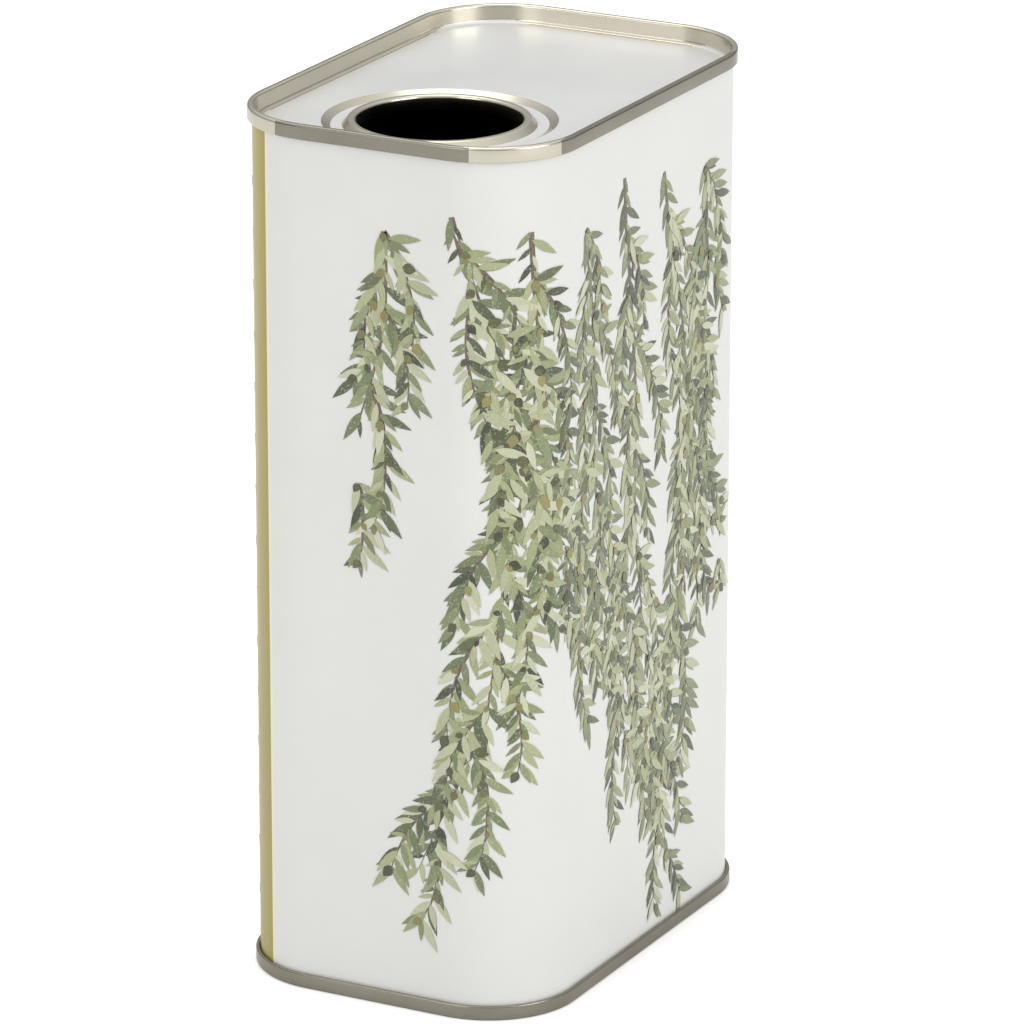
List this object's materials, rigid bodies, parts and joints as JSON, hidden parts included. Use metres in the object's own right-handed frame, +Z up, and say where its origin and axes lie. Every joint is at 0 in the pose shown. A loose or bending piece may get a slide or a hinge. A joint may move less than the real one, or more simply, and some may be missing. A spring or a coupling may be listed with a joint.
{
  "type": "oil tin",
  "caption": "Rectangular tinplate oil tin with rounded corners, double-seamed ends and an off-centre flanged pouring mouth in its countersunk top.",
  "frame": {"origin": "centre of the plane that the bottom seam rests on", "axes": "+Z up, +X along the long side away from the mouth, +Y across the short side to the back"},
  "size_m": [0.1014, 0.0684, 0.175],
  "materials": {
    "litho_wall": "glossy white enamel on tinplate, with a printed border and sprays of leaves",
    "tinplate": "bare bright tinplate",
    "seam_compound": "cured sealing compound"
  },
  "bodies": {
    "root": {"body_wall": "litho_wall", "top_end": "tinplate", "bottom_end": "tinplate", "top_seam_compound": "seam_compound", "bottom_seam_compound": "seam_compound"}
  },
  "joints": []
}
